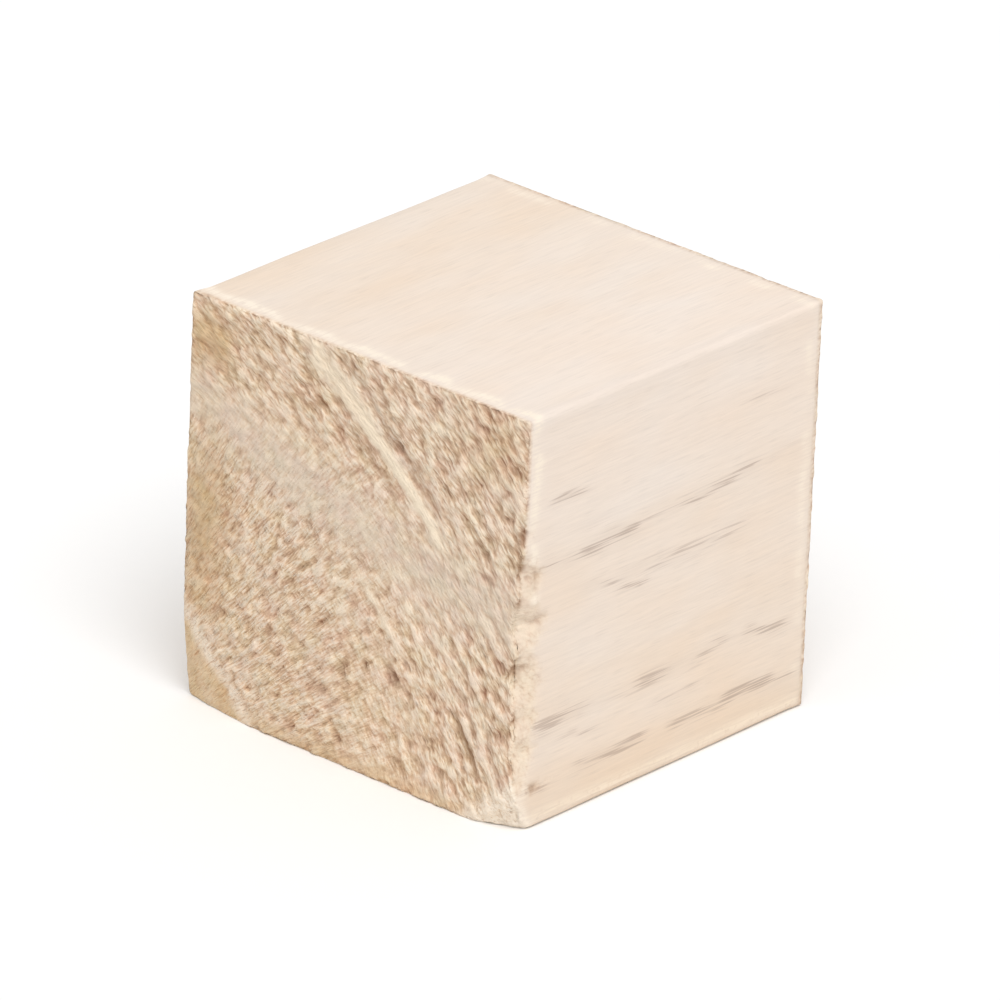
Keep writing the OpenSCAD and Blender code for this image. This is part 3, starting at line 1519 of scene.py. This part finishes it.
    def _sawn(self, tree: Tree, place: Socket, age: Socket, specks: Socket) -> Socket:
        """Colour the sawn ends: dark hollows, pale fibre tips, smooth bands and ring lines.

        The hollows are partly painted shade and the tips partly a painted highlight.

        Args:
            tree: the material's tree.
            place: where the skin is.
            age: 0 for the inner wood and 1 for the outer.
            specks: the pattern of the finest torn fibres.

        Returns:
            The colour's socket.
        """
        wood = {SHARE: age, COLOUR_A: linear(self.sawn_inner), COLOUR_B: linear(self.sawn_outer)}
        wood = add(tree, "Mix", wood, MIXED_COLOUR, data_type="RGBA")
        torn = add(tree, "Attribute", output="Fac", attribute_name="torn")
        torn = {0: specks, 1: self.torn_weight, 2: torn}
        torn = add(tree, "Math", torn, operation="MULTIPLY_ADD")
        for shade in (self.fibre_tips_and_highlights, self.torn_hollows_and_shade):
            wood = shade.over(tree, torn, wood)

        scratched = self._scratched(tree, place)
        smooth = add(tree, "Attribute", output="Fac", attribute_name="burnished")
        smooth = add(tree, "Math", {0: smooth, 1: self.burnish_share}, operation="MULTIPLY")
        wood = {SHARE: smooth, COLOUR_A: wood, COLOUR_B: scratched}
        wood = add(tree, "Mix", wood, MIXED_COLOUR, data_type="RGBA")

        tints = {"Vector": place, "Scale": 1 / (self.tint_size * MM), "Detail": 2.0}
        hue = {"Value": add(tree, "TexNoise", tints), "To Min": 0.491, "To Max": 0.509}
        dust = {"Vector": place, "Scale": 1 / (self.dust_size * MM), "Detail": 1.0}
        light = {"Value": add(tree, "TexNoise", dust), "To Min": 0.91, "To Max": 1.09}
        hue, light = (add(tree, "MapRange", part | NOISE_SPAN) for part in (hue, light))
        wood = add(tree, "HueSaturation", {"Color": wood, "Hue": hue, "Value": light})

        # Ring lines and painted highlights pale the wood; dark ring lines, painted shadow and
        # dents darken it.
        marked = add(tree, "Attribute", output="Fac", attribute_name="marked")
        for shade in (self.ring_lines_and_highlights, self.dark_lines_and_shadows):
            wood = shade.over(tree, marked, wood)
        return wood

    def _scratched(self, tree: Tree, place: Socket) -> Socket:
        """Colour the band that the blade rubs, with the scratches that its teeth leave along it.

        Args:
            tree: the material's tree.
            place: where the skin is.

        Returns:
            The colour's socket.
        """
        along = add(tree, "Mapping", {"Vector": place, "Rotation": (0, self.blade_turn, 0)})
        size = (1 / (self.scratch_long * MM), 0, 1 / (self.scratch_apart * MM))
        scratches = add(tree, "VectorMath", {0: along, 1: size}, operation="MULTIPLY")
        scratches = add(tree, "TexNoise", {"Vector": scratches, "Scale": 1.0, "Detail": 2.0})
        light = {"Value": scratches, "To Min": 0.86, "To Max": 1.12}
        light = add(tree, "MapRange", light | NOISE_SPAN)
        scratched = {"Color": linear(self.burnished_wood), "Value": light}
        return add(tree, "HueSaturation", scratched)


def seen(tree: Tree) -> Socket:
    """Tell the rays that see the background from the rays that carry light to the cube.

    Args:
        tree: the tree to add the nodes to.

    Returns:
        A socket that is 1 for what the eye sees, in gloss and glass too, and 0 for light.
    """
    share = add(tree, "LightPath", output="Is Camera Ray")
    rays = share.node.outputs
    for name in ("Is Glossy Ray", "Is Transmission Ray"):
        share = add(tree, "Math", {0: share, 1: rays[name]}, operation="MAXIMUM")
    return share


@dataclass(frozen=True)
class MattPaper:
    """Matt white paper, which is a clean white to the eye and still takes a shadow."""

    colour: str = "#F2F1EF"

    def material(self) -> bpy.types.Material:
        """Make the material.

        Returns:
            A material that is white to the eye, and its own colour to the light.
        """
        material = bpy.data.materials.new("matt white paper")
        tree = blank(material)
        colour = {SHARE: seen(tree), COLOUR_A: linear(self.colour), COLOUR_B: WHITE}
        colour = add(tree, "Mix", colour, MIXED_COLOUR, data_type="RGBA")
        shader = {"Base Color": colour, "Roughness": 1.0, "Specular IOR Level": 0.0}
        add(tree, "OutputMaterial", {"Surface": add(tree, "BsdfPrincipled", shader)})
        return material


@dataclass(frozen=True)
class Studio:
    """A sheet of white paper under soft light, and a long lens that looks down at the cube."""

    azimuth: float = 40.7
    elevation: float = 24.2
    roll: float = 2.4
    distance: float = 703.6
    lens: float = 445.0
    sensor: float = 36.0
    paper: MattPaper = MattPaper()
    paper_reach: float = 4000.0
    paper_drop: float = 0.02
    lamp_from: tuple[float, float, float] = (0.42, -0.34, 0.84)
    lamp_share: float = 0.5
    lamp_spread: float = 35.0
    sky: float = 0.61

    def build(self, centre: Vector) -> None:
        """Set the paper, the light and the camera round the cube.

        Args:
            centre: the cube's centre.
        """
        self._lay_paper()
        self._light()
        self._place_camera(centre * MM)

    def _lay_paper(self) -> None:
        """Lay the paper just under the cube."""
        sheet = bmesh.new()
        down = Matrix.Translation((0, 0, -self.paper_drop * MM))
        reach = self.paper_reach * MM
        bmesh.ops.create_grid(sheet, x_segments=1, y_segments=1, size=reach, matrix=down)
        floor = finished("white_paper", sheet)
        floor.data.materials.append(self.paper.material())

    def _light(self) -> None:
        """Hang one wide soft lamp, and fill the rest of the room evenly."""
        lamp = bpy.data.lights.new("soft_lamp", "SUN")
        lamp.energy = self.lamp_share * math.pi
        lamp.angle = math.radians(self.lamp_spread)
        hung = put_in_scene(lamp)
        hung.rotation_euler = Vector(self.lamp_from).to_track_quat("Z", "Y").to_euler()

        world = bpy.data.worlds.new("white_room")
        tree = blank(world)
        level = add(tree, "MapRange", {"Value": seen(tree), "To Min": self.sky})
        room = add(tree, "Background", {"Color": WHITE, "Strength": level})
        add(tree, "OutputWorld", {"Surface": room})
        bpy.context.scene.world = world
        bpy.context.scene.view_settings.view_transform = "Standard"

    def _place_camera(self, centre: Vector) -> None:
        """Aim the camera at the cube's centre.

        Args:
            centre: where to look, in metres.
        """
        turn, rise, roll = map(math.radians, (self.azimuth, self.elevation, self.roll))
        level_back = Vector((math.sin(turn), -math.cos(turn), 0))
        back = level_back * math.cos(rise) + Vector((0, 0, math.sin(rise)))
        level = Vector((0, 0, 1)).cross(back).normalized()
        right = level * math.cos(roll) + back.cross(level) * math.sin(roll)
        turned = Matrix((right, back.cross(right), back)).transposed().to_4x4()
        lens = bpy.data.cameras.new("long_lens")
        lens.lens = self.lens
        lens.sensor_width = self.sensor
        camera = put_in_scene(lens)
        camera.matrix_world = Matrix.Translation(centre + back * (self.distance * MM)) @ turned
        bpy.context.scene.camera = camera


def main() -> None:
    """Build the cube, dress it, and set it in the studio."""
    logging.basicConfig(level=logging.INFO, format="%(name)s: %(message)s")
    rings = GrowthRings()
    cube = PineCube(rings)
    piece = cube.build()
    piece.data.materials.append(UnfinishedPine(rings).material())
    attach(piece, BODY_NAME)
    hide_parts(NODE_NAME)
    log.info("%s: %d faces", piece.name, len(piece.data.polygons))
    Studio().build(cube.centre)


if __name__ == "__main__":
    main()
